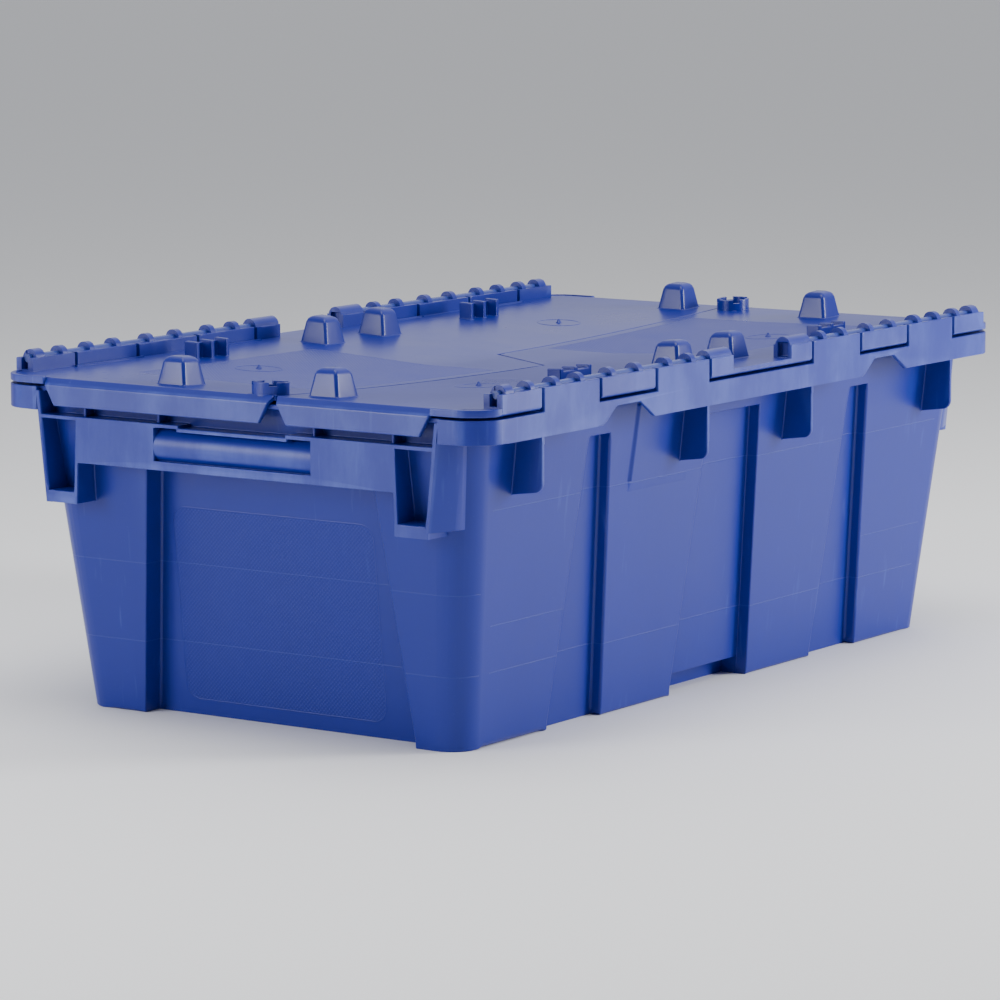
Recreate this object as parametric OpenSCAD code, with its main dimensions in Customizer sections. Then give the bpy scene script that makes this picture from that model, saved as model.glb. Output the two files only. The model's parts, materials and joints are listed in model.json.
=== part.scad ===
// Stacking tote with two attached, interlocking lids, in millimetres.
// X runs along the length, Y across the width, Z up from the floor. The origin is the
// centre of the base. The front lid hinges on the -Y side, the rear lid on the +Y side.

/* [Tub] */
// Length over the rim
rim_l = 500; // [490:5:540]
// Width over the rim
rim_w = 300; // [290:5:320]
// Length of the base
base_l = 446; // [430:2:450]
// Width of the base
base_w = 235; // [230:1:240]
// Outward slope of the walls, mm for each mm of height
draft = 0.11; // [0.09:0.01:0.11]
// Thickness of the tub walls
wall = 2.8; // [2.2:0.2:3.2]
// Thickness of the floor
floor_t = 3; // [2.5:0.5:4]
// Corner radius of the rim skirt
rim_r = 18; // [14:1:22]
// Depth of the recesses in the long walls
side_recess = 6.3; // [4:0.1:7]
// Depth of the recess in the end walls
end_recess = 12; // [8:1:13]

/* [Rim] */
// Height of the lower edge of the skirt
skirt_z = 154; // [150:1:156]
// Height of the rim's top face, which the lids rest above
rim_z = 165.9; // [165:0.1:166]
// Thickness of skirt, flange and handle plates
plate_t = 2.4; // [2:0.2:2.8]

/* [Lids] */
// Height of the lids' top face
lid_z = 170.5; // [170:0.5:171]
// Thickness of the lid plate
lid_t = 2.5; // [2:0.5:2.5]
// Gap between the two lids along the seam
seam_gap = 1.2; // [1:0.2:2]
// Height of the stacking lugs above the lid
lug_h = 14.5; // [10:0.5:14.5]
// Width of a stacking lug at its base
lug_w = 18; // [14:1:18]

/* [Hinges] */
// Height of the hinge rods' centre line
rod_z = 177; // [177:0.5:177.5]
// Distance of the centre line from the long edge
rod_in = 5.5; // [5.4:0.1:5.6]
// Diameter of a hinge rod
rod_d = 4; // [3:0.5:4]
// Radial clearance of a rod in its bore
rod_fit = 0.05; // [0.03:0.01:0.08]
// Thickness of a hinge block
block_t = 11; // [10.5:0.1:11]
// Radius of the loops that close over the rod
loop_r = 4.5; // [4.3:0.1:4.7]

/* [Hidden] */
$fn = 48;

tub_blue = [0.19, 0.26, 0.60];
lid_blue = [0.22, 0.30, 0.66];
rod_blue = [0.30, 0.38, 0.72];

// Rim and walls
corner_r0 = 15;                     // wall corner radius at the floor
corner_r1 = 19;                     // wall corner radius at the rim
end_recess_y = -6.2;                // how far off centre the -X end's recess is
end_recess_foot = 84.2;             // its half width at the floor
end_recess_head = 67.4;             // its half width under the ledge
undercut = 15.5;                    // depth of the undercut at the foot of the middle recess
end_open = 123.5;                   // half width of the rim's open part at each end
flange_back = 3.4;                  // how far the end flange stays behind the end face
gusset_x = [51, 199];               // the gussets, to both sides
gusset_foot = 127.5;                // lower end of a gusset
pad_foot = 113.9;                   // lower end of a label pad's bevel
pad_face = 119.5;                   // where its flat face starts
pad_left = [-97.2, -94.6];          // its left edge, at the foot and at the top
pad_right = -42.2;                  // its right edge
pad_proud = 1.3;                    // how far its face stands out
// Hinge blocks: the tub's and the lids' alternate along each side
knuckle_gap = 1.1;                  // half of the gap between neighbours
joints_x = [50, 100, 150, 200];     // centres of those gaps, to both sides
lid_end_x = 234;                    // outer end of the lid's last block
scoop_x = 28.5;                     // half length of the finger scoop
block_z = rod_z + 0.5;              // flat top of the blocks
lid_low = rim_z + 1.3;              // lower edge of the lid's blocks, aprons and bead
loop_l = 4;                         // length of one loop
tub_loops = 10.6;                   // the tub's loops, to both sides of a block's centre
lid_loops = 12;                     // the same on the lid's full blocks
rod_y = rim_w/2 - rod_in;
rod_end = 232;                      // outer end of a rod
rod_start = 33;                     // inner end, inside the arch beside the scoop
// End handles
ledge_z = 152;                      // top of the ledge under the lid
ledge_t = 1.8;
ledge_dip = 1.4;                    // how much lower the ledge is over the grip
window_z = 108;                     // lowest edge of the corner windows
sill_z = 112;                       // underside of a window's sill
cheek_t = 2;                        // thickness of a window's cheeks
cheek_outer = [115.8, 121.7];       // inner side of the outer cheek, at the bottom and at the top
cheek_inner = [98.2, 96.4];         // the same side of the inner cheek
// Back of the outer cheek, from where the walls would meet: along X, then along Y
flare_low = [[1.9, -12.8], [6.3, -5.6], [5.5, -4.8], [2.4, -4.8], [-1.4, -5.8]];
flare_high = [[2.3, -13], [6.9, -5.9], [6, -5.1], [3, -5.1], [-0.5, -6.3]];
flare_edge = [-11.6, -11.8];        // where it reaches the end face, low and high
panel_z = 129;                      // lower edge of the handle's front panels
grip_y = 48.5;                      // half width of the grip opening
grip_r = 9.5;                       // radius of the rolled grip
grip_z = 140.5;
// Lids
seam_y = 25;                        // the seam lies this far off centre at each end
seam_x = 15;                        // half length of the seam's diagonal
apron_z = 156.6;                    // lower edge of the aprons
apron_slant = 7.8;                  // how far an apron's end leans in
bevel = 3.6;                        // bevel along the top of an apron
chamfer = 1.2;                      // chamfer along the lid's lower outer edge
rib_up = 0.7;                       // height of the ribs behind the tub's blocks
comb_x = 14;                        // half length of a seal comb
apron_end = 119.7;                  // outer end of the aprons
apron_gap = 1.2;                    // gap between an apron and the seam
comb_at = 124;                      // centre of a seal comb
collar_x = 238;                     // centre of the collar
collar_in = 9.4;                    // how far the collar stays behind the seam
lug_x = [229, 26];
lug_y = [47, 112];
lug_top = 12.5;                     // width of a lug's flat top

function half_l(z) = base_l/2 + draft*z;
function half_w(z) = base_w/2 + draft*z;

// A rounded rectangle, centred
module rrect(l, w, r) {
    square([l - 2*r, w], center = true);
    square([l, w - 2*r], center = true);
    for (sx = [-1, 1], sy = [-1, 1]) translate([sx*(l/2 - r), sy*(w/2 - r)]) circle(r);
}

// A solid between two level rectangles, each [x0, x1, y0, y1]
module frustum(z0, a, z1, b) {
    polyhedron(
        points = [[a[0], a[2], z0], [a[1], a[2], z0], [a[1], a[3], z0], [a[0], a[3], z0],
                  [b[0], b[2], z1], [b[1], b[2], z1], [b[1], b[3], z1], [b[0], b[3], z1]],
        faces = [[0, 1, 2, 3], [7, 6, 5, 4], [0, 4, 5, 1], [1, 5, 6, 2], [2, 6, 7, 3], [3, 7, 4, 0]]);
}

module box(x0, x1, y0, y1, z0, z1) {
    translate([x0, y0, z0]) cube([x1 - x0, y1 - y0, z1 - z0]);
}

module mirrored_x() {
    children();
    mirror([1, 0, 0]) children();
}

module mirrored_y() {
    children();
    mirror([0, 1, 0]) children();
}

// The tub's tapered body, inset by a distance all round
module taper(z0, z1, inset) {
    hull() for (z = [z0, z1]) {
        r = corner_r0 + (corner_r1 - corner_r0)*z/rim_z - inset;
        for (sx = [-1, 1], sy = [-1, 1])
            translate([sx*(half_l(z) - inset - r), sy*(half_w(z) - inset - r), z - (z == z1 ? 0.01 : 0)])
                cylinder(r = r, h = 0.01, $fn = 32);
    }
}

// Tapered recesses of the long and end walls, grown by a distance for their inner side
module recesses(grow) {
    top = skirt_z - 8;
    reach = 12;
    mirrored_y() for (c = [-126, 0, 126]) {
        low = c == 0 ? 37.5 : 24;
        high = c == 0 ? 24 : 9;
        frustum(-1, [c - low - grow, c + low + grow,
                     -half_w(-1) - reach, -half_w(-1) + side_recess + grow],
                top + grow, [c - high - grow, c + high + grow,
                     -half_w(top + grow) - reach, -half_w(top + grow) + side_recess + grow]);
    }
    // The middle recess is undercut along the floor, so that it can be tipped by hand
    mirrored_y() frustum(-1, [-37 - grow, 37 + grow, -half_w(0) - reach, -half_w(0) + undercut + grow],
                         9.5 + grow, [-36 - grow, 36 + grow,
                             -half_w(9) - reach, -half_w(9) + undercut + grow]);
    // The end recesses lie off centre, one at each end, each the other turned half round
    z1 = ledge_z - 4;
    for (a = [0, 180]) rotate(a)
        frustum(-1, [-half_l(-1) - reach, -half_l(-1) + end_recess + grow,
                     end_recess_y - end_recess_foot - grow, end_recess_y + end_recess_foot + grow],
                z1 + grow, [-half_l(z1) - reach, -half_l(z1) + end_recess + grow,
                     end_recess_y - end_recess_head - grow, end_recess_y + end_recess_head + grow]);
}

// A trapezoid notch in the lower edge of the long skirt
module skirt_notch(x) {
    depth = 8.5;
    translate([x, -rim_w/2 - 1, skirt_z]) rotate([90, 0, 0]) mirror([0, 0, 1])
        linear_extrude(6) polygon([[-23, -1], [-23, 0], [-20, 1.4], [-11.5, depth - 0.6], [-10, depth],
                                   [10.5, depth], [12, depth - 1], [23.5, 0], [23.5, -1]]);
}

// A thin upright gusset under the long skirt, with a round outer foot
module gusset(x) {
    t = 2;
    foot = gusset_foot;
    out = rim_w/2 - 0.8;
    translate([x - t/2, 0, 0]) rotate([90, 0, 90]) linear_extrude(t) union() {
        polygon([[-half_w(foot) + 2, foot - 3], [-out + 5, foot - 1], [-out + 5, skirt_z + 6],
                 [-half_w(foot) + 2, skirt_z + 6]]);
        translate([-out, foot + 4]) square([5.1, skirt_z + 6 - foot - 4]);
        translate([-out + 5, foot + 4]) circle(r = 5);
    }
}

// A solid between two level polygons of as many points, listed anticlockwise from above
module loft(z0, a, z1, b) {
    n = len(a);
    polyhedron(
        points = concat([for (p = a) [p[0], p[1], z0]], [for (p = b) [p[0], p[1], z1]]),
        faces = concat([[for (i = [0:n - 1]) i]], [[for (i = [0:n - 1]) 2*n - 1 - i]],
            [for (i = [0:n - 1]) [i, n + i, (i + 1) % n]],
            [for (i = [0:n - 1]) [(i + 1) % n, n + i, n + (i + 1) % n]]));
}

// The outer cheek of a window flares back into the rounded corner of the tub
function flare(z, back, edge) = concat(
    [[-rim_l/2, half_w(z) + back[0][1]]],
    [for (p = back) [-half_l(z) + p[0], half_w(z) + p[1]]],
    [[-rim_l/2, half_w(z) + edge]]);

module cheek_flare() {
    low = window_z + 3;
    high = skirt_z + 1;
    loft(low, flare(low, flare_low, flare_edge[0]), high, flare(high, flare_high, flare_edge[1]));
}

// A window beside the handle: two upright cheeks and a sill with a turned-down lip
module end_window() {
    back = -half_l(window_z) + 1;
    front = -rim_l/2;
    outer = cheek_outer;
    inner = cheek_inner;
    frustum(window_z, [front, back, outer[0], outer[0] + cheek_t],
            rim_z - 2, [front + 0.01, back - 4, outer[1], outer[1] + cheek_t]);
    frustum(window_z, [front, back + 8, inner[0], inner[0] + cheek_t],
            ledge_z - 1, [front, back + 4, inner[1], inner[1] + cheek_t]);
    box(front, back, inner[0] + 1, outer[0] + 0.4, sill_z, sill_z + 2);
    box(front, front + 2, inner[0] + 0.8, outer[0] + 0.6, window_z, sill_z + 1);
}

// The web that closes the top of the -X end's recess
module recess_roof() {
    wall_x = -half_l(ledge_z) + 1;
    half = end_recess_head + 2;
    box(wall_x - 2, wall_x + end_recess, end_recess_y - half, end_recess_y + half,
        ledge_z - 6, ledge_z - 3.8);
}

// The handle at one end: ledge, front panels, rolled grip and the ribs above the ledge
module end_handle() {
    front = -rim_l/2;
    wall_x = -half_l(ledge_z) + 1;
    inner = wall_x + end_recess;
    // Ledge, lower over the grip
    box(front, wall_x, 33, 122, ledge_z - ledge_t, ledge_z);
    box(front, wall_x, -122, -33, ledge_z - ledge_t, ledge_z);
    box(front, wall_x, -34, 34, ledge_z - ledge_t - ledge_dip, ledge_z - ledge_dip);
    mirrored_y() {
        box(front, front + plate_t, grip_y, 97.4, panel_z, ledge_z - 1);
        box(front, -half_l(panel_z) + 1, 95.6, 97.6, panel_z, ledge_z - 1);
        box(front, inner - 2, grip_y, grip_y + 2, panel_z, ledge_z - 1);
        end_window();
        cheek_flare();
        for (y = [48, 95]) box(front + flange_back, wall_x, y - 0.8, y + 0.8, ledge_z - 1, rim_z - 1);
    }
    // Rolled grip, open behind and below for the fingers
    difference() {
        union() {
            translate([front + grip_r, -grip_y - 1, grip_z]) rotate([-90, 0, 0])
                cylinder(r = grip_r, h = 2*grip_y + 2);
            box(front + grip_r, wall_x, -grip_y - 1, grip_y + 1,
                grip_z + grip_r - plate_t, grip_z + grip_r);
        }
        translate([front + grip_r, -grip_y, grip_z]) rotate([-90, 0, 0])
            cylinder(r = grip_r - plate_t, h = 2*grip_y);
        box(front + grip_r, inner, -grip_y, grip_y, panel_z, grip_z + grip_r - plate_t);
    }
    box(front, front + grip_r, -grip_y - 1, grip_y + 1, panel_z, grip_z - grip_r + plate_t);
}

// One hinge block between two X positions, with its loops, on the -Y side
module hinge_block(x0, x1, z0, loops) {
    outer = -rim_w/2;
    box(x0, x1, outer, outer + block_t, z0, block_z);
    for (x = loops) translate([x - loop_l/2, -rod_y, rod_z]) rotate([0, 90, 0])
        cylinder(r = loop_r, h = loop_l);
}

module rod_bore() {
    mirrored_x() translate([rod_start, -rod_y, rod_z]) rotate([0, 90, 0])
        cylinder(d = rod_d + 2*rod_fit, h = rim_l);
}

module tub_blocks() {
    for (i = [0, 2], s = [-1, 1]) {
        x0 = joints_x[i] + knuckle_gap;
        x1 = joints_x[i + 1] - knuckle_gap;
        c = (x0 + x1)/2;
        hinge_block(min(s*x0, s*x1), max(s*x0, s*x1), rim_z - 1, [s*c - tub_loops, s*c + tub_loops]);
        // Thicker skirt under the block
        box(min(s*x0, s*x1), max(s*x0, s*x1), -rim_w/2, -rim_w/2 + plate_t + 1, skirt_z + 9, rim_z);
    }
}

module rim() {
    // Skirt along the long sides and round the corners
    difference() {
        translate([0, 0, skirt_z]) linear_extrude(rim_z - skirt_z) difference() {
            rrect(rim_l, rim_w, rim_r);
            rrect(rim_l - 2*plate_t, rim_w - 2*plate_t, rim_r - plate_t);
            square([rim_l + 2, 2*end_open], center = true);
        }
        for (s = [-1, 1], x = [-125, 125]) mirror([0, s > 0 ? 1 : 0, 0]) skirt_notch(x);
    }
    // Flange
    translate([0, 0, rim_z - plate_t]) linear_extrude(plate_t) difference() {
        rrect(rim_l, rim_w, rim_r);
        rrect(2*half_l(rim_z) - 2, 2*half_w(rim_z) - 2, corner_r1);
        for (s = [-1, 1]) translate([s*rim_l/2, 0]) square([2*flange_back, 2*end_open], center = true);
    }
}

// A raised pad for a label, bevelled along its upright edges and its foot
function pad_at(z, left, proud) = [
    [left, -half_w(z)], [left + 1.8, -half_w(z) - proud],
    [pad_right - 1, -half_w(z) - proud], [pad_right, -half_w(z)],
    [pad_right, -half_w(z) + 1], [left, -half_w(z) + 1]];

module label_pad() {
    top = skirt_z + 4;
    loft(pad_foot, pad_at(pad_foot, pad_left[0], 0.05), pad_face, pad_at(pad_face, pad_left[0], pad_proud));
    loft(pad_face, pad_at(pad_face, pad_left[0], pad_proud), top, pad_at(top, pad_left[1], pad_proud));
}

module tub() color(tub_blue) difference() {
    union() {
        difference() {
            union() {
                difference() {
                    taper(0, rim_z, 0);
                    recesses(0);
                }
                for (a = [0, 180]) rotate(a) label_pad();
            }
            difference() {
                taper(floor_t, rim_z + 1, wall);
                recesses(wall);
            }
        }
        rim();
        mirrored_x() end_handle();
        for (a = [0, 180]) rotate(a) recess_roof();
        mirrored_y() {
            tub_blocks();
            for (x = gusset_x, s = [-1, 1]) gusset(s*x);
        }
    }
    mirrored_y() rod_bore();
}

// Outline of the front lid's plate
module lid_outline() {
    g = seam_gap/2;
    difference() {
        intersection() {
            rrect(rim_l, rim_w, rim_r);
            polygon([[-rim_l, -seam_y - g], [-seam_x + g, -seam_y - g], [seam_x + g, seam_y - g],
                     [rim_l, seam_y - g], [rim_l, -rim_w], [-rim_l, -rim_w]]);
        }
        for (i = [0, 2], s = [-1, 1]) {
            x0 = joints_x[i] - knuckle_gap;
            x1 = joints_x[i + 1] + knuckle_gap;
            translate([min(s*x0, s*x1), -rim_w]) square([x1 - x0, rim_w/2 + block_t + 0.6]);
        }
    }
}

// A tapered stacking lug
module lug(x, y) {
    a = lug_w/2;
    b = lug_top/2;
    frustum(lid_z - 1, [x - a - 0.2, x + a + 0.2, y - a - 0.2, y + a + 0.2],
            lid_z + lug_h, [x - b, x + b, y - b, y + b]);
}

// An apron along a lid's short edge, at the -X end, from y0 to y1 along its top
module apron(y0, y1) {
    x = -rim_l/2;
    intersection() {
        translate([0, y1 + 1, 0]) rotate([90, 0, 0]) linear_extrude(y1 - y0 + 2)
            polygon([[x + bevel, lid_z], [x, lid_z - bevel], [x, apron_z], [x + plate_t, apron_z],
                     [x + plate_t, lid_z - bevel - 1], [x + plate_t + 2.5, lid_z - lid_t],
                     [x + 9, lid_z - lid_t], [x + 9, lid_z]]);
        translate([x - 1, 0, 0]) rotate([90, 0, 90]) linear_extrude(12)
            polygon([[y0, lid_z + 1], [y0, lid_z - 1], [y0 + apron_slant, apron_z - 1],
                     [y1 - apron_slant, apron_z - 1], [y1, lid_z - 1], [y1, lid_z + 1]]);
    }
}

// A short notched collar that locates the tote above
module collar(x, y) {
    r = 9.2;
    translate([x, y, lid_z - 1]) difference() {
        cylinder(r = r, h = 7);
        translate([0, 0, 0.9]) cylinder(r = r - 2, h = 7);
        for (a = [45, 135]) rotate(a) translate([-r - 1, -2, 5.2]) cube([2*r + 2, 4, 3]);
    }
}

// A comb of three upright plates on a web, for a seal
module seal_comb(x) {
    y = -118;
    box(x - comb_x, x + comb_x, y, y + 2, lid_z - 1, lid_z + 8);
    for (i = [-1, 0, 1])
        box(x + 12.5*i - 1.5, x + 12.5*i + 1.5, y, y + 8, lid_z - 1, lid_z + 9.5);
}

// Bead round the lid's two outer corners
module corner_bead() {
    translate([0, 0, lid_low]) linear_extrude(lid_z + 0.5 - lid_low) difference() {
        intersection() {
            rrect(rim_l, rim_w, rim_r);
            for (s = [-1, 1]) translate([s*rim_l/2, -rim_w/2]) square([33, 62], center = true);
        }
        rrect(rim_l - 6, rim_w - 6, rim_r - 3);
    }
}

// The lid's hinge blocks, with the scoop and its two arches
module lid_blocks() {
    outer = -rim_w/2;
    difference() {
        union() {
            for (s = [-1, 1]) {
                full = s*(joints_x[1] + joints_x[2])/2;
                hinge_block(full - 25 + knuckle_gap, full + 25 - knuckle_gap, lid_low,
                            [full - lid_loops, full + lid_loops]);
                last0 = joints_x[3] + knuckle_gap;
                hinge_block(min(s*last0, s*lid_end_x), max(s*last0, s*lid_end_x), lid_low,
                            [s*(last0 + 6), s*225, s*228]);
                arch0 = scoop_x;
                arch1 = joints_x[0] - knuckle_gap;
                hinge_block(min(s*arch0, s*arch1), max(s*arch0, s*arch1), lid_low, []);
                translate([min(s*arch0, s*arch1), -rod_y, rod_z]) rotate([0, 90, 0])
                    cylinder(r = loop_r, h = arch1 - arch0);
            }
            box(-scoop_x - 1, scoop_x + 1, outer, outer + block_t + 1, lid_low, lid_z);
        }
        // Hollows in the arches, and the open end slots that the rods go in by
        mirrored_x() {
            box(scoop_x - 1, scoop_x + 3, -rod_y - 3, -rod_y + 3, lid_z + 0.5, rod_z + 1.5);
            box(229.5, lid_end_x + 1, -rod_y - 2.2, -rod_y + 2.2, 171.5, rod_z + 8);
        }
    }
}

// Stiffening ribs under the plate, inside the tub's mouth
module lid_ribs() {
    low = lid_z - lid_t - 5;
    t = 1.8;
    for (y = [-125, -78, -34]) box(-228, 228, y - t/2, y + t/2, low, lid_z - 1);
    for (x = [-226, -150, -76, 0, 76, 150, 226]) box(x - t/2, x + t/2, -125, -34, low, lid_z - 1);
    box(20, 228, 13, 13 + t, low, lid_z - 1);
    for (x = [21, 76, 150, 226]) box(x - t/2, x + t/2, -34, 14, low, lid_z - 1);
}

module lid() difference() {
    union() {
        translate([0, 0, lid_z - lid_t]) linear_extrude(lid_t) difference() {
            lid_outline();
            mirrored_x() translate([-rim_l/2 - 1, -apron_end]) square([bevel + 2, apron_end + seam_y]);
        }
        lid_blocks();
        corner_bead();
        apron(-apron_end, -seam_y - apron_gap);
        mirror([1, 0, 0]) apron(-apron_end, seam_y - apron_gap);
        for (x = lug_x, s = [-1, 1]) lug(s*x, x > 100 ? -lug_y[0] : -lug_y[1]);
        collar(collar_x, seam_y - collar_in);
        mirrored_x() seal_comb(comb_at);
        for (i = [0, 2], s = [-1, 1])
            box(min(s*(joints_x[i] - 2), s*(joints_x[i + 1] + 2)),
                max(s*(joints_x[i] - 2), s*(joints_x[i + 1] + 2)),
                -138.3, -136.7, lid_z - 1, lid_z + rib_up);
        lid_ribs();
    }
    rod_bore();
    // Chamfered lower edge, which passes over the rim as the lid turns
    translate([0, -rim_w/2, lid_low]) rotate([45, 0, 0])
        cube([2*rim_l, chamfer*sqrt(2), chamfer*sqrt(2)], center = true);
}

module lid_front() color(lid_blue) lid();

module lid_rear() color(lid_blue) rotate(180) lid();

module hinge_rod(side, end) color(rod_blue)
    translate([end > 0 ? rod_start + 1 : -rod_end, side*rod_y, rod_z]) rotate([0, 90, 0])
        cylinder(d = rod_d, h = rod_end - rod_start - 1);

tub();
lid_front();
lid_rear();
hinge_rod(-1, -1);  // hinge_rod_front_left
hinge_rod(-1, 1);  // hinge_rod_front_right
hinge_rod(1, -1);  // hinge_rod_rear_left
hinge_rod(1, 1);  // hinge_rod_rear_right
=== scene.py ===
import bpy, bmesh, json, math
from mathutils import Matrix, Vector
from mathutils.bvhtree import BVHTree
from mathutils.kdtree import KDTree

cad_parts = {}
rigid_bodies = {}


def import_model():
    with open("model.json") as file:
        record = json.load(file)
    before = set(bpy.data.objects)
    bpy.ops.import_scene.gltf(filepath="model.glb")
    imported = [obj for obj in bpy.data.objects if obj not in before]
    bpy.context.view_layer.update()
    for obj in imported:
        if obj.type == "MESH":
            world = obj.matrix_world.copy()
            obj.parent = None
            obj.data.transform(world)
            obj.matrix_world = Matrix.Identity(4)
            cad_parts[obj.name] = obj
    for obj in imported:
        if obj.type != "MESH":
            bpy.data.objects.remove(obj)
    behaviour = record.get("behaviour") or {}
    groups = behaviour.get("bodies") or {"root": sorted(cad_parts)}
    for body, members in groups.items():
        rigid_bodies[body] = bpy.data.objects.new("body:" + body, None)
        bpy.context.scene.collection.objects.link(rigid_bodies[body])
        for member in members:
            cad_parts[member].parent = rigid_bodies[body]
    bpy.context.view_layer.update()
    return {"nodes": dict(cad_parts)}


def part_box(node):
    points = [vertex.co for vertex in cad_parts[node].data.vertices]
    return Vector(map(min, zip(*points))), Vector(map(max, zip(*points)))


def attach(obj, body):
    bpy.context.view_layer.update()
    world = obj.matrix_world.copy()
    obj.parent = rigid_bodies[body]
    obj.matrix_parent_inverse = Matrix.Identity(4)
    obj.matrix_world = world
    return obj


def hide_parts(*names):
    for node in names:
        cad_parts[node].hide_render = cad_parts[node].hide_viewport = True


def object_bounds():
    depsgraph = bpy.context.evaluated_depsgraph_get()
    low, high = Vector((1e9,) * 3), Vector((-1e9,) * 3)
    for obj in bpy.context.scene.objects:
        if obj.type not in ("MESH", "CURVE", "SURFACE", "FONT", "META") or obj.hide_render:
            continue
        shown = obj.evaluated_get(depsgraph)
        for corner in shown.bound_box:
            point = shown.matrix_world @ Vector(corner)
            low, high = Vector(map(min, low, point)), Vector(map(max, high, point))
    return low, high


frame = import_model()
scene = bpy.context.scene
nodes = frame["nodes"]

# ---------------------------------------------------------------- sizes, from the frame
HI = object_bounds()[1]
HALF_L, HALF_W = HI.x, HI.y
ROD_LO, ROD_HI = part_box("hinge_rod_front_left")
ROD_Y = abs((ROD_LO.y + ROD_HI.y)/2)
LID_Z = HI.z - 0.0145          # the lids' top face, below the lugs
SAG = 0.007                    # how far the lids sag at the middle of the seam
SEAM_Y = 0.025                 # how far off centre the seam runs

# Rounding of edges
FINE, WALL, FOOT, LUG = 0.0006, 0.0015, 0.0036, 0.0036     # widths of the rounds
SHARP = math.radians(28)       # edges that turn more than this are rounded
CREASE = math.radians(38)      # edges that turn more than this stay creased in the shading
FLAT = math.radians(0.6)       # faces that turn less than this are joined
SAME = 2e-6                    # points nearer than this are one point
SLIVER = 6e-5                  # slivers thinner than this are closed up
END_CUT = 0.004                # a long edge is cut this far from its ends
SLACK = 0.62                   # how far off the CAD surface a round may be, in widths
ATTEMPTS, HALVINGS = 22, 12    # tries in all, and how many of them halve a round first
STEP, STEP_OFF = 0.0125, 0.0003     # spacing and offset of the cuts that let a lid sag


# ---------------------------------------------------------------- meshes
def sag(x, y):
    t = min(1.0, max(0.0, (ROD_Y - abs(y))/(ROD_Y - SEAM_Y)))
    return SAG*(1 - (x/HALF_L)**2)*t


def is_sharp(e):
    return len(e.link_faces) == 2 and e.calc_face_angle(0) > SHARP


def width_of(e):
    """How wide a round the edge has: the foot, the tall wall edges and the lugs are the softest."""
    p, q = e.verts[0].co, e.verts[1].co
    top, length = max(p.z, q.z), e.calc_length()
    if top > HI.z - 0.001:
        return LUG
    if top < 0.0006 and max(abs(p.x)/0.205, abs(p.y)/0.1145) > 1:
        return FOOT
    if top < 0.149 and abs(p.z - q.z) > 0.7*length and length > 0.018:
        return WALL
    return FINE


def misfits(me, surface):
    """Places where a rounded mesh went wrong: off the CAD surface, or triangulated inside out."""
    bad = []
    for v in me.vertices:
        z = v.co.z
        on_lug = z > LID_Z + 0.0008 and 0.036 < abs(v.co.y) < 0.123
        allowed = FOOT if z < 0.006 else WALL if z < 0.1 else LUG if on_lug else FINE
        if surface.find_nearest(v.co)[3] > SLACK*allowed:
            bad.append(v.co.copy())
    me.calc_loop_triangles()
    for t in me.loop_triangles:
        if t.area > 1e-9 and t.normal.dot(me.polygons[t.polygon_index].normal) < 0.5:
            bad += [me.vertices[i].co.copy() for i in t.vertices]
    return bad


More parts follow.
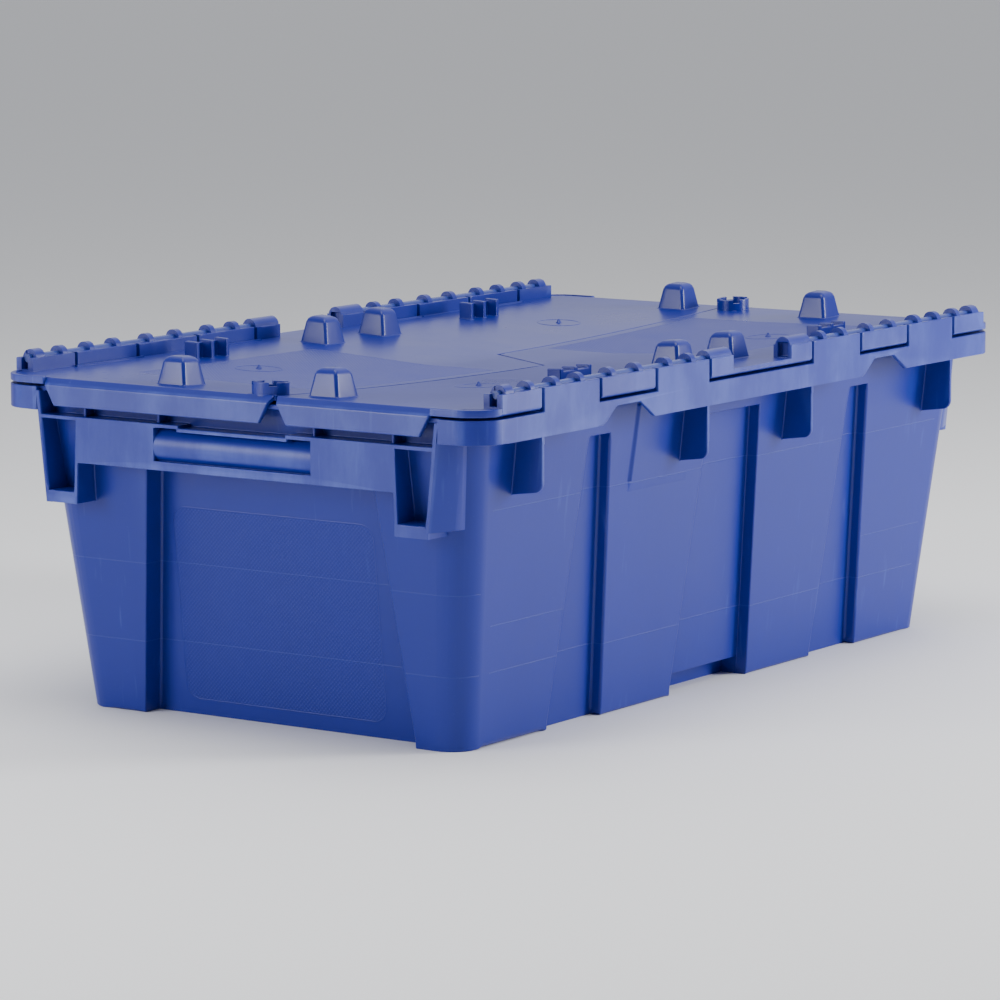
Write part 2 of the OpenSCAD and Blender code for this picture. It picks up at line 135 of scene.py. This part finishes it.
def rounded(node, sagging=False):
    """A copy of a CAD node with its edges rounded, which stands for it."""
    bm = bmesh.new()
    bm.from_mesh(nodes[node].data)
    bmesh.ops.remove_doubles(bm, verts=bm.verts, dist=SAME)
    surface = BVHTree.FromBMesh(bm)
    # Slivers too thin to round are closed up first
    bmesh.ops.remove_doubles(bm, verts=bm.verts, dist=SLIVER)
    bmesh.ops.dissolve_degenerate(bm, edges=bm.edges, dist=1e-5)
    bmesh.ops.dissolve_limit(bm, angle_limit=FLAT, verts=bm.verts, edges=bm.edges)
    # A long edge is cut near its ends, so that a tight corner doesn't thin all of it
    for e in [e for e in bm.edges if is_sharp(e) and e.calc_length() > 4*END_CUT]:
        far_piece = bmesh.utils.edge_split(e, e.verts[0], END_CUT/e.calc_length())[0]
        rest = max((far_piece, e), key=lambda g: g.calc_length())
        outer = [v for v in rest.verts if len(v.link_edges) > 2]
        if outer:
            bmesh.utils.edge_split(rest, outer[0], END_CUT/rest.calc_length())
    weight = bm.edges.layers.float.new("bevel_weight_edge")
    for e in bm.edges:
        if is_sharp(e):
            tight = max(sum(is_sharp(f) for f in v.link_edges) for v in e.verts) > 2
            width = width_of(e)
            e[weight] = width/FOOT*(min(1.0, e.calc_length()/(3*width)) if tight else 1.0)
    o = bpy.data.objects.new(node + "_shell", bpy.data.meshes.new(node + "_shell"))
    scene.collection.objects.link(o)
    b = o.modifiers.new("edge", "BEVEL")
    b.limit_method, b.width, b.segments, b.use_clamp_overlap = "WEIGHT", FOOT, 3, False
    # Rounds that don't fit are thinned, then left out, until the mesh is sound
    for attempt in range(ATTEMPTS):
        bm.to_mesh(o.data)
        bpy.context.view_layer.update()
        graph = bpy.context.evaluated_depsgraph_get()
        made = bpy.data.meshes.new_from_object(o.evaluated_get(graph))
        bad = misfits(made, surface)
        if not bad:
            break
        places = KDTree(len(bad))
        for i, co in enumerate(bad):
            places.insert(co, i)
        places.balance()
        for e in bm.edges:
            if e[weight] > 0:
                near = min(places.find(v.co)[2] for v in e.verts)
                if near < max(FINE, e[weight]*FOOT)*(1.1 + 0.3*attempt):
                    halve = e[weight] > 0.1 and attempt < HALVINGS
                    e[weight] = 0.5*e[weight] if halve else 0.0
    bm.free()
    o.modifiers.clear()
    tidy = bmesh.new()
    tidy.from_mesh(made)
    bmesh.ops.remove_doubles(tidy, verts=tidy.verts, dist=SAME)
    if sagging:
        # Long faces need points along them to follow the sag
        for axis, half in ((0, HALF_L), (1, HALF_W)):
            n = int(half/STEP)
            for i in range(-n, n + 1):
                co, no = [0.0, 0.0, 0.0], [0.0, 0.0, 0.0]
                co[axis], no[axis] = i*STEP + STEP_OFF, 1.0
                bmesh.ops.bisect_plane(tidy, geom=tidy.verts[:] + tidy.edges[:] + tidy.faces[:],
                                       plane_co=co, plane_no=no, dist=1e-6)
        for v in tidy.verts:
            v.co.z -= sag(v.co.x, v.co.y)
    for f in tidy.faces:
        f.smooth = True
    for e in tidy.edges:
        e.smooth = len(e.link_faces) == 2 and e.calc_face_angle(0) < CREASE
    tidy.to_mesh(o.data)
    tidy.free()
    n = o.modifiers.new("normals", "WEIGHTED_NORMAL")
    n.keep_sharp = True
    n.weight = 100
    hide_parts(node)
    return o


# ---------------------------------------------------------------- material
PALE_WEAR_AND_LIGHT = (0.085, 0.125, 0.50, 1)         # pale tint: scuffed plastic, and also painted light on the outermost faces and painted highlights on edges
WALL_SLOPE = 0.11                      # slope of the tub's walls
END_DEPTH, END_FLOOR = 0.2096, 0.2125  # an end wall's depth at the base: from, and up to its recess
SIDE_DEPTH = 0.2015                    # what lies nearer the middle belongs to the long walls
LINE_HALF, LINE_SOFT = 0.00034, 0.00016     # half width of a mould line, and of its soft edge
RUB_AND_LIGHT_FROM, RUB_AND_LIGHT_TO = 0.0016, 0.0006      # how near the outermost faces the paling (painted light with some rubbing in it) starts and is full
TEXTURE_PITCH = 0.0022


def plastic(name, base, rough, patches, lines=(), gloss=0.5):
    m = bpy.data.materials.new(name)
    m.use_nodes = True
    nt = m.node_tree
    nt.nodes.clear()
    link = nt.links.new

    def node(kind, **kw):
        n = nt.nodes.new(kind)
        for k, v in kw.items():
            setattr(n, k, v)
        return n

    def calc(op, a, b=None, clamp=False):
        n = node("ShaderNodeMath", operation=op, use_clamp=clamp)
        for i, x in enumerate((a, b)):
            if isinstance(x, (int, float)):
                n.inputs[i].default_value = x
            elif x is not None:
                link(x, n.inputs[i])
        return n.outputs[0]

    def add(a, b, clamp=False):
        return calc("ADD", a, b, clamp)

    def sub(a, b):
        return calc("SUBTRACT", a, b)

    def mul(a, b):
        return calc("MULTIPLY", a, b)

    def most(a, b):
        return calc("MAXIMUM", a, b)

    def size(a):
        return calc("ABSOLUTE", a)

    out = node("ShaderNodeOutputMaterial")
    bsdf = node("ShaderNodeBsdfPrincipled")
    link(bsdf.outputs[0], out.inputs[0])
    bsdf.inputs["Specular IOR Level"].default_value = gloss
    bsdf.inputs["IOR"].default_value = 1.5
    co = node("ShaderNodeTexCoord").outputs["Object"]
    sep = node("ShaderNodeSeparateXYZ")
    link(co, sep.inputs[0])
    X, Y, Z = sep.outputs

    def noise(scale, detail=3.0, stretch=(1, 1, 1), roughness=0.5):
        mp = node("ShaderNodeMapping")
        mp.inputs["Scale"].default_value = stretch
        link(co, mp.inputs["Vector"])
        n = node("ShaderNodeTexNoise")
        n.inputs["Scale"].default_value = scale
        n.inputs["Detail"].default_value = detail
        n.inputs["Roughness"].default_value = roughness
        link(mp.outputs[0], n.inputs["Vector"])
        return n.outputs["Fac"]

    def ramp(fac, lo, hi):
        r = node("ShaderNodeMapRange", interpolation_type="SMOOTHSTEP")
        r.inputs["From Min"].default_value, r.inputs["From Max"].default_value = lo, hi
        link(fac, r.inputs["Value"])
        return r.outputs[0]

    # Broad cloudiness, upright flow marks, fine scuffs and speckle
    cloud = noise(7.0, 3.0)
    flow = noise(26.0, 4.0, (1.0, 1.0, 0.12))
    scuff = ramp(noise(210.0, 2.0, (1.0, 1.0, 0.09)), 0.63, 0.74)
    speck = ramp(noise(900.0, 1.0), 0.70, 0.80)
    wear = mul(scuff, ramp(cloud, 0.45, 0.68))
    pale = add(mul(wear, 0.34), mul(speck, 0.10), clamp=True)
    # Faint witness lines of the mould: level lines, on the end walls or on the long walls
    depth = sub(size(X), mul(Z, WALL_SLOPE))
    on_end = calc("GREATER_THAN", depth, END_DEPTH)
    on_side = calc("LESS_THAN", depth, SIDE_DEPTH)
    line = None
    for z, end_wall, reach in lines:
        one = ramp(sub(LINE_HALF, size(sub(Z, z))), 0.0, LINE_SOFT)
        one = mul(one, on_end if end_wall else on_side)
        if reach:
            one = mul(one, calc("GREATER_THAN", size(X), reach))
        line = one if line is None else most(line, one)
    # The outermost faces are painted paler: painted light, with some rubbing in it; the edges get a
    # painted highlight
    outer = most(ramp(size(X), HALF_L - RUB_AND_LIGHT_FROM, HALF_L - RUB_AND_LIGHT_TO),
                 ramp(size(Y), HALF_W - RUB_AND_LIGHT_FROM, HALF_W - RUB_AND_LIGHT_TO))
    mottle = ramp(noise(34.0, 5.0, (1.0, 1.0, 0.45), 0.62), 0.36, 0.70)
    pale = add(pale, mul(outer, add(mul(mottle, 0.42), 0.14)), clamp=True)
    # Painted highlight along the edges, from pointiness, varied by the mottle noise
    edge = ramp(node("ShaderNodeNewGeometry").outputs["Pointiness"], 0.535, 0.62)
    pale = add(pale, mul(edge, add(mul(mottle, 0.22), 0.12)), clamp=True)
    if line is not None:
        pale = add(pale, mul(line, 0.16), clamp=True)

    shade = node("ShaderNodeMix", data_type="RGBA")
    shade.inputs["A"].default_value = (*[c*0.86 for c in base], 1)
    shade.inputs["B"].default_value = (*[min(1, c*1.16) for c in base], 1)
    link(add(mul(cloud, 0.5), mul(flow, 0.5)), shade.inputs["Factor"])
    # Mix towards the pale tint: scuffs and specks, painted light on the outermost faces, painted
    # highlights on edges, and mould lines
    wear_and_light_mix = node("ShaderNodeMix", data_type="RGBA")
    wear_and_light_mix.inputs["B"].default_value = PALE_WEAR_AND_LIGHT
    link(pale, wear_and_light_mix.inputs["Factor"])
    link(shade.outputs["Result"], wear_and_light_mix.inputs["A"])
    link(wear_and_light_mix.outputs["Result"], bsdf.inputs["Base Color"])

    def panel(u, cu, hu, v, cv, hv, r):
        """Distance in from the outline of a rounded rectangle, from its centre and half sizes."""
        qu = sub(size(sub(u, cu)), hu - r)
        qv = sub(size(sub(v, cv)), hv - r)
        a, b = most(qu, 0.0), most(qv, 0.0)
        far = calc("SQRT", add(mul(a, a), mul(b, b)))
        return sub(r, add(far, calc("MINIMUM", most(qu, qv), 0.0)))

    # Finely textured panels with rounded corners and a raised border
    mask = border = None
    for kind, side, (c0, h0), (c1, h1), r in patches:
        if kind == "end":
            inside = panel(Y, c0, h0, Z, c1, h1, r)
            there = mul(on_end, calc("LESS_THAN", depth, END_FLOOR))
            there = mul(there, calc("GREATER_THAN", mul(X, side), 0.0))
        else:
            inside = panel(X, c0, h0, Y, c1, h1, r)
            there = calc("LESS_THAN", Z, LID_Z + 0.0004)
        p = mul(ramp(inside, 0.0, 0.0006), there)
        q = mul(ramp(sub(0.0005, size(inside)), 0.0, 0.0003), there)
        mask = p if mask is None else most(mask, p)
        border = q if border is None else most(border, q)

    def lattice(u, v):
        a = calc("SINE", mul(add(u, v), 2*math.pi/TEXTURE_PITCH))
        b = calc("SINE", mul(sub(u, v), 2*math.pi/TEXTURE_PITCH))
        return add(mul(a, 0.5), mul(b, 0.5))

    roughness = add(add(mul(flow, 0.14), mul(wear, 0.18)), rough - 0.07)
    height = add(mul(noise(60.0, 4.0), 0.35), mul(noise(1400.0, 1.0), 0.05))
    if line is not None:
        height = add(height, mul(line, 0.7))
    if mask is not None:
        roughness = add(roughness, mul(mask, 0.16))
        grid = lattice(Y, Z) if patches[0][0] == "end" else lattice(X, Y)
        height = add(height, mul(mul(grid, mask), 0.40))
        height = add(height, mul(border, 0.8))
    link(roughness, bsdf.inputs["Roughness"])
    bump = node("ShaderNodeBump")
    bump.inputs["Strength"].default_value = 0.5
    bump.inputs["Distance"].default_value = 0.0004
    link(height, bump.inputs["Height"])
    link(bump.outputs[0], bsdf.inputs["Normal"])
    return m


BLUE = (0.0095, 0.0200, 0.262)
# Panels: kind, side, centre and half size along each of the panel's two axes, corner radius
end_panels = [("end", side, (side*0.0034, 0.0621), (0.0575, 0.0495), 0.008) for side in (-1, 1)]
lid_panels = [("lid", side, (side*0.1245, 0.0745), (-side*0.041, 0.059), 0.002) for side in (-1, 1)]
# Lines: height, whether on the end walls, and how far from the middle along X they start
mould_lines = [(0.1185, False, 0), (0.061, False, 0.145), (0.0375, False, 0),
               (0.0782, True, 0), (0.0375, True, 0)]
tub_mat = plastic("tub_plastic", BLUE, 0.33, end_panels, mould_lines, 0.36)
lid_mat = plastic("lid_plastic", BLUE, 0.30, lid_panels)
rod_mat = plastic("rod_plastic", (0.030, 0.048, 0.240), 0.26, [])


def dress(o, material):
    o.data.materials.clear()
    o.data.materials.append(material)


tub = rounded("tub")
dress(tub, tub_mat)
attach(tub, "tub")
for name, body in (("lid_front", "front_lid"), ("lid_rear", "rear_lid")):
    lid = rounded(name, sagging=True)
    dress(lid, lid_mat)
    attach(lid, body)

GATE_RING, GATE_TUBE = 0.012, 0.0005   # radius of a gate mark's ring, and half its width
GATE_RISE = 0.00022                    # how high the ring stands
GATE_X, GATE_Y = 0.138, 0.069
# The nib: radius and height above the lid, from its foot up
NIB = [(0.0019, -0.0004), (0.0016, 0.0003), (0.0009, 0.0010), (0.0006, 0.0019), (0.0003, 0.0022)]
NIB_SIDES = 20


def gate_mark(name, body, x, y):
    """The thin ring and nib that a mould's gate leaves on a lid, following its sag."""
    bm = bmesh.new()
    turns, tube = 64, 10
    rows = []
    for i in range(turns):
        a = 2*math.pi*i/turns
        row = []
        for j in range(tube):
            b = 2*math.pi*j/tube
            rr = GATE_RING + GATE_TUBE*math.cos(b)
            px, py = x + rr*math.cos(a), y + rr*math.sin(a)
            row.append(bm.verts.new((px, py, LID_Z - sag(px, py) + GATE_RISE*math.sin(b))))
        rows.append(row)
    for i in range(turns):
        for j in range(tube):
            k, m = (i + 1) % turns, (j + 1) % tube
            bm.faces.new((rows[i][j], rows[k][j], rows[k][m], rows[i][m]))
    base = LID_Z - sag(x, y)
    turn = [2*math.pi*i/NIB_SIDES for i in range(NIB_SIDES)]
    rings = [[bm.verts.new((x + r*math.cos(a), y + r*math.sin(a), base + h)) for a in turn]
             for r, h in NIB]
    for lower, upper in zip(rings, rings[1:]):
        for i in range(NIB_SIDES):
            k = (i + 1) % NIB_SIDES
            bm.faces.new((lower[i], lower[k], upper[k], upper[i]))
    bm.faces.new(rings[-1])
    bm.faces.new(rings[0][::-1])
    bmesh.ops.recalc_face_normals(bm, faces=bm.faces)
    me = bpy.data.meshes.new(name)
    bm.to_mesh(me)
    bm.free()
    me.shade_smooth()
    me.materials.append(lid_mat)
    o = bpy.data.objects.new(name, me)
    scene.collection.objects.link(o)
    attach(o, body)


for side, word in ((-1, "left"), (1, "right")):
    gate_mark("gate_front_" + word, "front_lid", side*GATE_X, -GATE_Y)
    gate_mark("gate_rear_" + word, "rear_lid", side*GATE_X, GATE_Y)

for n, o in nodes.items():
    if n.startswith("hinge_rod"):
        dress(o, rod_mat)

# ---------------------------------------------------------------- stage, lights and camera
floor = bpy.data.meshes.new("floor")
FLOOR = 40                     # half the floor's side
floor.from_pydata([(-FLOOR, -FLOOR, 0), (FLOOR, -FLOOR, 0), (FLOOR, FLOOR, 0), (-FLOOR, FLOOR, 0)],
                  [], [(0, 1, 2, 3)])
floor = bpy.data.objects.new("floor", floor)
scene.collection.objects.link(floor)
fm = bpy.data.materials.new("floor")
fm.use_nodes = True
paint = fm.node_tree.nodes["Principled BSDF"].inputs
paint["Base Color"].default_value = (0.95, 0.95, 0.96, 1)
paint["Roughness"].default_value = 0.8
floor.data.materials.append(fm)

world = bpy.data.worlds.new("world")
world.use_nodes = True
wt = world.node_tree
sky = wt.nodes["Background"]
sky.inputs["Color"].default_value = (0.93, 0.95, 1.0, 1)
way = wt.nodes.new("ShaderNodeTexCoord").outputs["Generated"]


def fade(direction, lo, hi, amount):
    """A part of the sky's strength, which grows towards a direction."""
    dot = wt.nodes.new("ShaderNodeVectorMath")
    dot.operation = "DOT_PRODUCT"
    dot.inputs[1].default_value = direction
    wt.links.new(way, dot.inputs[0])
    r = wt.nodes.new("ShaderNodeMapRange")
    r.interpolation_type = "SMOOTHSTEP"
    r.inputs["From Min"].default_value, r.inputs["From Max"].default_value = lo, hi
    r.inputs["To Max"].default_value = amount
    wt.links.new(dot.outputs["Value"], r.inputs["Value"])
    return r.outputs[0]


def combine(op, a, b):
    n = wt.nodes.new("ShaderNodeMath")
    n.operation = op
    for i, x in enumerate((a, b)):
        if isinstance(x, float):
            n.inputs[i].default_value = x
        else:
            wt.links.new(x, n.inputs[i])
    return n.outputs[0]


# A pale wall behind the tote, above the horizon, and a soft ceiling; dim on the near side
up = (0.0, 0.0, 1.0)
behind = (0.82, 0.57, 0.0)
wall_light = combine("MULTIPLY", fade(behind, 0.0, 0.9, 1.1), fade(up, 0.05, 0.30, 1.0))
ceiling = fade(up, 0.05, 0.9, 0.28)
strength = combine("ADD", combine("ADD", wall_light, ceiling), 0.05)
wt.links.new(strength, sky.inputs["Strength"])
scene.world = world


def softbox(name, at, target, size, power):
    d = bpy.data.lights.new(name, "AREA")
    d.shape, d.size, d.size_y, d.energy = "RECTANGLE", size[0], size[1], power
    o = bpy.data.objects.new(name, d)
    o.location = at
    o.rotation_euler = (Vector(target) - Vector(at)).to_track_quat("-Z", "Y").to_euler()
    scene.collection.objects.link(o)


softbox("right", (0.95, -1.45, 0.55), (0.05, -0.1, 0.09), (0.5, 0.9), 33)
softbox("top", (-0.2, -0.2, 1.5), (0, 0, 0.17), (1.2, 1.2), 16)
softbox("left", (-1.75, 0.85, 0.6), (-0.2, 0, 0.09), (0.8, 0.9), 15)
softbox("low_left", (-1.25, 0.70, 0.42), (-1.25, 0.70, 0.0), (0.9, 0.9), 6)
for o in scene.objects:
    if o.type == "LIGHT":
        o.visible_camera = False

# The camera's position, the way it looks, and its focal length in picture widths
EYE = (-1.975062, -1.355494, 0.428937)
FOCAL = 4.538094
SENSOR = 36
yaw, pitch, roll = math.radians(34.73814), math.radians(8.094766), math.radians(-0.185527)
d = Vector((math.cos(yaw)*math.cos(pitch), math.sin(yaw)*math.cos(pitch), -math.sin(pitch)))
r = Vector((math.sin(yaw), -math.cos(yaw), 0))
u = r.cross(d)
r, u = math.cos(roll)*r + math.sin(roll)*u, -math.sin(roll)*r + math.cos(roll)*u
cam = bpy.data.cameras.new("camera")
cam.sensor_width, cam.lens = SENSOR, SENSOR*FOCAL
cam.clip_start, cam.clip_end = 0.1, 50
camera = bpy.data.objects.new("camera", cam)
camera.matrix_world = Matrix([(r[i], u[i], -d[i], EYE[i]) for i in range(3)] + [(0, 0, 0, 1)])
scene.collection.objects.link(camera)
scene.camera = camera

bpy.context.view_layer.update()
